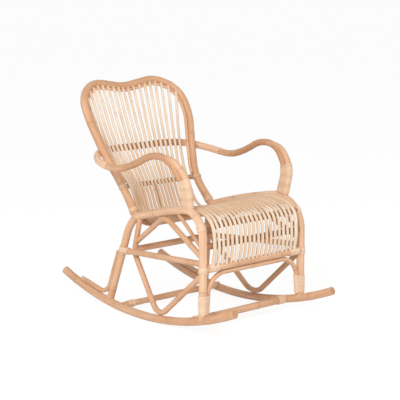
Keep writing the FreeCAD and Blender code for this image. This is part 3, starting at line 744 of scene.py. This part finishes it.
def bow_tone(point):
    """The bow is pale at its ends and darkened where the slats cover it, a painted shade."""
    return BOW_PAINTED_SHADE + BOW_PALER * clamp((abs(point.x) - BOW_COVERED) / TONE_FADE)


def arm_tone(point):
    """The arm is brown, and a little paler towards its splice with the bow."""
    return ARM_BROWN + ARM_PALER * clamp((point.y - ARM_PALER_FROM) / ARM_FADE)


def side_poles(name, side):
    poles = (
        ("rocker", rocker_line(side), "rocker", 0.3),
        ("front_leg", leg_line(side), "leg", 0.72),
        ("rear_leg", rear_leg_line(side), "rear_leg", 0.4),
        ("side_stretcher", on_side(STRETCHER, side), "stretcher", 0.35),
        ("lower_scroll", lower_scroll_line(side), "lower_scroll", 0.3),
        ("upper_scroll", side_line(UPPER_SCROLL, side, UPPER_SCROLL_BEND), "upper_scroll", 0.35),
        ("rear_brace", side_line(BRACE, side, BRACE_BEND), "brace", 0.3),
        ("corner_brace", corner_brace_line(side), "corner_brace", 0.1),
        ("arm", arm_line(side), "arm", arm_tone),
        ("arm_post", arm_post_line(side), "arm_post", 0.3),
    )
    return [("%s_%s" % (node, name), line, size, tone) for node, line, size, tone in poles]


def slat_carriers():
    """The hoop, the bow and the rails; most of them are darkened between the slats, a painted shade behind
    and under the slats.
    """
    carriers = (
        ("back_hoop", "hoop", 0.1),
        ("arm_bow", "bow", bow_tone),
        ("back_rail", "rail", -0.45),
        ("seat_middle_rail", "rail", -0.1),
        ("seat_rear_rail", "rail", -0.1),
        ("seat_upper_front_rail", "upper_rail", -0.55),
        ("seat_lower_front_rail", "lower_rail", -0.5),
    )
    return [(node, LINES[node], size, tone) for node, size, tone in carriers]


def cross_poles():
    return [
        ("front_bar", across(FRONT_BAR), "front_bar", 0.4),
        ("rear_bar", across(REAR_BAR), "rear_bar", 0.3),
        ("front_apron", across(APRON), "apron", 0.35),
        ("rear_stretcher", across(REAR_STRETCHER, REAR_STRETCHER_END), "rear_stretcher", 0.3),
        ("front_arch", LINES["front_arch"], "arch", 0.4),
    ]


def struts():
    """Two thin rods behind the slats: one between the front rails, one bowed out under the back rail."""
    front_rails = ("seat_upper_front_rail", "seat_lower_front_rail")
    front = [point_at(LINES[name], OUT, SEAT_STRUT_OUT)[0] for name in front_rails]
    top, low = [point_at(LINES[name], OUT, BACK_STRUT_OUT)[0] for name in ("back_rail", "seat_rear_rail")]
    away = (low - top).cross(Vector((1, 0, 0))).normalized()
    away = -away if away.z > 0 else away
    back = bent([top, along(top, low, 0.5) + away * BACK_STRUT_BOW, low])
    # Their tones below 0 are painted shade behind the slats
    return [("seat_strut", front, "strut", -0.5), ("back_strut", back, "strut", -0.3)]


def make_poles():
    poles = []
    for name, side in SIDES.items():
        poles += side_poles(name, side)
    poles += slat_carriers() + cross_poles() + struts()
    for seed, (node, line, size, tone) in enumerate(poles, start=POLE_SEED):
        skin = Skin()
        add_tube(skin, line, radius(size), seed, tone)
        skin.piece(node + "_pole", POLE, "pole_rattan", node)


# What the slats lie on, from the top down, with None for the crest of the seat, where no rail is
RAILS = (
    ("back_hoop", "hoop"),
    ("arm_bow", "bow"),
    ("back_rail", "rail"),
    ("seat_rear_rail", "rail"),
    ("seat_middle_rail", "rail"),
    (None, None),
    ("seat_upper_front_rail", "upper_rail"),
    ("seat_lower_front_rail", "lower_rail"),
)

# Slats: half widths at each rail, of the long slats and of the thicker ones beside them on the seat
SLAT_COUNT = 18
LONG_WIDTHS = (232, 195, 158, 160, 172, 179, 185, 185)
EDGE_WIDTHS = (188, 200, 207, 207)
SLAT_TAIL = 40
SLAT_LAP = 9
SLAT_HEAD_DROP = 9
SLAT_FOOT_FRONT = 3
SLAT_ROUNDS = 6
SLAT_SEED = 300
SITTER_SIDE = Vector((0, -1, 1))
CREST = (-243, 453)
CREST_SAG = 7

# Tones of the slats: a part of their own, and what the back, the seat, the front and the head change
SLAT_TONE_SEED = 7
SLAT_TONE = 0.3
SLAT_TONE_OWN = 0.2
BACK_PALER = 0.6
BACK_PALER_FROM = 430
BACK_RISE = 300
BACK_LEAST = -0.1
SEAT_DARKER = 0.4
SEAT_TOP = 475
# Paler at the front: painted light on the front-facing slats
FRONT_PAINTED_LIGHT = 0.35
FRONT_EDGE = -290
# Darker at the head: painted shade below the hoop
HEAD_SHADE_FADE_LENGTH = 45
HEAD_PAINTED_SHADE = 0.2
HEAD_PAINTED_SHADE_LENGTH = 14


def directions_through(points):
    runs = [(end - start).normalized() for start, end in zip(points, points[1:])]
    inner = [(before + after).normalized() for before, after in zip(runs, runs[1:])]
    return [runs[0]] + inner + [runs[-1]]


def slat_line(share, half_widths, size):
    """A slat that lies on the last rails in turn, crosses the crest of the seat and ends in the apron."""
    supports = []
    for (rail, diameter), half_width in zip(RAILS[-len(half_widths):], half_widths):
        out = share * half_width
        if rail is None:
            sag = CREST_SAG * (1 - (out / EDGE_WIDTHS[1]) ** 2)
            supports.append((Vector((out, CREST[0], CREST[1] - sag)), None, 0))
        else:
            clear = -SLAT_LAP if rail == "back_hoop" else TOUCH
            supports.append((*point_at(LINES[rail], OUT, out), radius(diameter) + size + clear))
    foot = Vector((share * half_widths[-1], APRON[0] - SLAT_FOOT_FRONT, APRON[1]))
    supports.append((foot, None, 0))
    points = [support[0] for support in supports]
    for _ in range(SLAT_ROUNDS):
        travel = directions_through(points)
        points = []
        for (axis_point, rail_direction, lift), direction in zip(supports, travel):
            if rail_direction is None:
                points.append(axis_point)
                continue
            normal = direction.cross(rail_direction).normalized()
            if normal.dot(SITTER_SIDE) < 0:
                normal = -normal
            points.append(axis_point + normal * lift)
    if len(half_widths) == len(RAILS):
        points[0] = points[0] + (points[1] - points[0]).normalized() * SLAT_HEAD_DROP
    else:
        points.insert(0, points[0] + (points[0] - points[1]).normalized() * SLAT_TAIL)
    return biarc(list(zip(points, directions_through(points))))


def slat_tone(own, head):
    """A slat's tone along its length: paler up the back, darker on the seat, paler at the front as painted
    light on the front-facing slats, and darkened at its head as painted shade below the hoop.
    """
    def tone(point):
        front = clamp((FRONT_EDGE - point.y) / TONE_FADE)
        seat = clamp((SEAT_TOP - point.z) / TONE_FADE) * (1 - front)
        back = max(BACK_LEAST, (point.z - BACK_PALER_FROM) / BACK_RISE)
        pale = clamp(SLAT_TONE + own + BACK_PALER * back - SEAT_DARKER * seat + FRONT_PAINTED_LIGHT * front)
        below = (point - head).length
        # Near the head the tone fades to ripe and then below 0: painted shade below the hoop
        brown = HEAD_PAINTED_SHADE * max(0.0, 1 - below / HEAD_PAINTED_SHADE_LENGTH)
        return pale * min(1.0, below / HEAD_SHADE_FADE_LENGTH) - brown

    return tone


def make_slats():
    chance = random.Random(SLAT_TONE_SEED)
    slats = [("slats", 1 - 2 * index / (SLAT_COUNT - 1), LONG_WIDTHS, "slat") for index in range(SLAT_COUNT)]
    slats += [("edge_slats", side, EDGE_WIDTHS, "edge_slat") for side in SIDES.values()]
    skins = {}
    for index, (node, share, half_widths, size) in enumerate(slats):
        line = slat_line(share, half_widths, radius(size))
        tone = slat_tone(chance.uniform(-SLAT_TONE_OWN, SLAT_TONE_OWN), line[0])
        add_tube(skins.setdefault(node, Skin()), line, radius(size), SLAT_SEED + index, tone,
                 sides=12, step=7.0, spacing=(170, 420), swell=0.05, taper=0.04)
    for node, skin in skins.items():
        skin.piece(node + "_rods", SLAT, "slat_rattan", node)


# Rod along the inside of the hoop
INNER_ROD_FOOT = 488
INNER_ROD_SINK = 0.8
INNER_ROD_SEED = 360
INNER_ROD_TONE = 0.45
BACK_MIDDLE = Vector((0, 330, 690))


def make_inner_rod():
    """The rod runs from one end of the back rail, behind the heads of the slats, to the other end."""
    hoop = LINES["back_hoop"]
    line = []
    for here, after in zip(hoop, hoop[1:]):
        if here.z > INNER_ROD_FOOT:
            direction = (after - here).normalized()
            inward = BACK_MIDDLE - here
            inward = (inward - direction * direction.dot(inward)).normalized()
            line.append(here + inward * (radius("hoop") + radius("slat") - INNER_ROD_SINK))
    skin = Skin()
    add_tube(skin, line, radius("slat"), INNER_ROD_SEED, INNER_ROD_TONE, sides=14)
    skin.piece("back_inner_rod_pole", POLE, "pole_rattan")


# Bindings: how far from the joint they start, and how high the plain lashings are
BINDING_SEED = 501
CANE_CLEAR = 3.6
ARM_BINDING_START = 8
STRETCHER_SADDLE = 14
APRON_LASHING_UP = 240
RAIL_LASHING_UP = 392
REAR_LEG_LASHING_UP = 232
HOOP_LASHING_UP = 473


def bindings(side):
    """The frame's bindings: name, line, start, second line or a direction, both sizes, turns and tone."""
    forward = Vector((0, -1, 0))
    upright = Vector((0, 0, 1))
    half = side * HALF_SPACING
    arm = arm_line(side)[::-1]
    post = on_side([HOOP_FOOT, HOOP[1]], side)
    stretcher = on_side(STRETCHER, side)[::-1]
    on_leg = radius("leg") + CANE_CLEAR
    on_rear_leg = STRETCHER_SADDLE + CANE_CLEAR
    on_rocker = radius("rocker") + CANE_CLEAR
    on_slope = radius("rocker") + radius("leg") * (CONTACT_BACK - LEG_BACK) / CURVE_RADIUS + CANE_CLEAR
    return [
        ("arm_binding", arm, ARM_BINDING_START, arm_post_line(side), "arm", "arm_post", 27, 0.02),
        ("foot_binding", leg_line(side), on_slope, LINES["front_arch"], "leg", "arch", 18, 0.55),
        ("apron_binding", across(APRON, half), on_leg, upright, "apron", None, 13, 0.45),
        ("post_binding", post, on_leg, forward, "hoop", None, 4, -0.2),
        ("stretcher_binding", stretcher, on_rear_leg, upright, "stretcher", None, 6, 0.3),
        ("front_bar_binding", across(FRONT_BAR, half), on_rocker, upright, "front_bar", None, 9, 0.4),
        ("rear_bar_binding", across(REAR_BAR, half), on_rocker, upright, "rear_bar", None, 9, 0.3),
    ]


def lashings(side):
    """Plain lashings, which the frame doesn't have, in the same form."""
    outward = Vector((side, 0, 0))
    leg = leg_line(side)
    hoop = LINES["back_hoop"][::side]
    places = (
        ("apron_lashing", leg, APRON_LASHING_UP, "leg", 6, 0.45),
        ("rail_lashing", leg, RAIL_LASHING_UP, "leg", 6, 0.25),
        ("rear_leg_lashing", rear_leg_line(side), REAR_LEG_LASHING_UP, "rear_leg", 5, 0.3),
        ("hoop_lashing", hoop, HOOP_LASHING_UP, "hoop", 3, -0.3),
    )
    return [(name, line, distance_to(line, UP, up), outward, size, None, turns, tone)
            for name, line, up, size, turns, tone in places]


def make_bindings():
    """Cane wound at the joints: the frame's own bindings, a little fuller, and plain lashings beside them."""
    seed = BINDING_SEED
    for name, side in SIDES.items():
        own = bindings(side)
        for index, (node, line, start, beside, first, second, turns, tone) in enumerate(own + lashings(side)):
            skin = Skin()
            wind(skin, line, start, beside, first, second, turns, seed, tone)
            nodes = ["%s_%s" % (node, name)] if index < len(own) else []
            skin.piece("%s_%s_cane" % (node, name), CANE, "cane_binding", *nodes)
            seed += 1


def finish_dowels():
    """The dowels keep their shape from the frame and get a material."""
    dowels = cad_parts["joint_dowels"]
    dowels.data.materials.clear()
    dowels.data.materials.append(dowel_wood())


# Floor, light and camera, in metres
FLOOR_REACH = 40.0
FLOOR_DROP = 0.0004
FLOOR_GREY = (0.93, 0.93, 0.93, 1)
FLOOR_ROUGHNESS = 0.9
WHITE = (1, 1, 1, 1)
BACKGROUND_GLOW = 1.1
BACKGROUND_SHARE = 0.8
SKY_LIGHT = 0.44
CHAIR_MIDDLE = (0, 0, 0.45)
LAMP_SIZE = 2.0
LAMPS = (("key", (-3.6, -2.5, 2.9), 165), ("fill", (2.6, -3.0, 2.2), 30))
CAMERA_PLACE = (-3.368, -3.836, 1.3805)
CAMERA_TILT = 79.468
CAMERA_TURN = -41.558
CAMERA_LENS = 120.94
CAMERA_SENSOR = 36


def background_rays(graph):
    """One for the rays that show the background: from the camera, mirrored or through glass."""
    path = graph.nodes.new("ShaderNodeLightPath")
    shown = graph.calculate("MAXIMUM", path.outputs["Is Camera Ray"], path.outputs["Is Glossy Ray"])
    return graph.calculate("MAXIMUM", shown, path.outputs["Is Transmission Ray"])


def make_floor():
    """A pale floor that looks white and keeps the chair's shadow."""
    mesh = bpy.data.meshes.new("floor")
    corners = [(x * FLOOR_REACH, y * FLOOR_REACH, 0) for x, y in ((-1, -1), (1, -1), (1, 1), (-1, 1))]
    mesh.from_pydata(corners, [], [(0, 1, 2, 3)])
    floor = bpy.data.objects.new("floor", mesh)
    floor.location.z = -FLOOR_DROP
    bpy.context.scene.collection.objects.link(floor)
    material, graph, bsdf = new_material("floor")
    bsdf.inputs["Base Color"].default_value = FLOOR_GREY
    bsdf.inputs["Roughness"].default_value = FLOOR_ROUGHNESS
    glow = graph.nodes.new("ShaderNodeEmission")
    glow.inputs["Color"].default_value = WHITE
    glow.inputs["Strength"].default_value = BACKGROUND_GLOW
    mix = graph.nodes.new("ShaderNodeMixShader")
    graph.links.new(graph.calculate("MULTIPLY", background_rays(graph), BACKGROUND_SHARE), mix.inputs[0])
    graph.links.new(bsdf.outputs[0], mix.inputs[1])
    graph.links.new(glow.outputs[0], mix.inputs[2])
    graph.links.new(mix.outputs[0], graph.nodes["Material Output"].inputs["Surface"])
    mesh.materials.append(material)


def make_world():
    world = bpy.data.worlds.new("studio")
    bpy.context.scene.world = world
    world.use_nodes = True
    graph = Graph(world.node_tree)
    background = graph.nodes["Background"]
    background.inputs["Color"].default_value = WHITE
    strength = graph.remap(background_rays(graph), 0.0, 1.0, SKY_LIGHT, 1.0)
    graph.links.new(strength, background.inputs["Strength"])


def make_lamp(name, place, power):
    light = bpy.data.lights.new(name, "AREA")
    light.size = LAMP_SIZE
    light.energy = power
    lamp = bpy.data.objects.new(name, light)
    lamp.location = place
    lamp.rotation_euler = (Vector(CHAIR_MIDDLE) - Vector(place)).to_track_quat("-Z", "Y").to_euler()
    bpy.context.scene.collection.objects.link(lamp)


def make_camera():
    data = bpy.data.cameras.new("camera")
    data.sensor_width = CAMERA_SENSOR
    data.lens = CAMERA_LENS
    camera = bpy.data.objects.new("camera", data)
    camera.location = CAMERA_PLACE
    camera.rotation_euler = (math.radians(CAMERA_TILT), 0, math.radians(CAMERA_TURN))
    bpy.context.scene.collection.objects.link(camera)
    bpy.context.scene.camera = camera


make_poles()
make_slats()
make_inner_rod()
make_bindings()
finish_dowels()
make_floor()
make_world()
for name, place, power in LAMPS:
    make_lamp(name, place, power)
make_camera()
bpy.context.scene.view_settings.view_transform = "Standard"
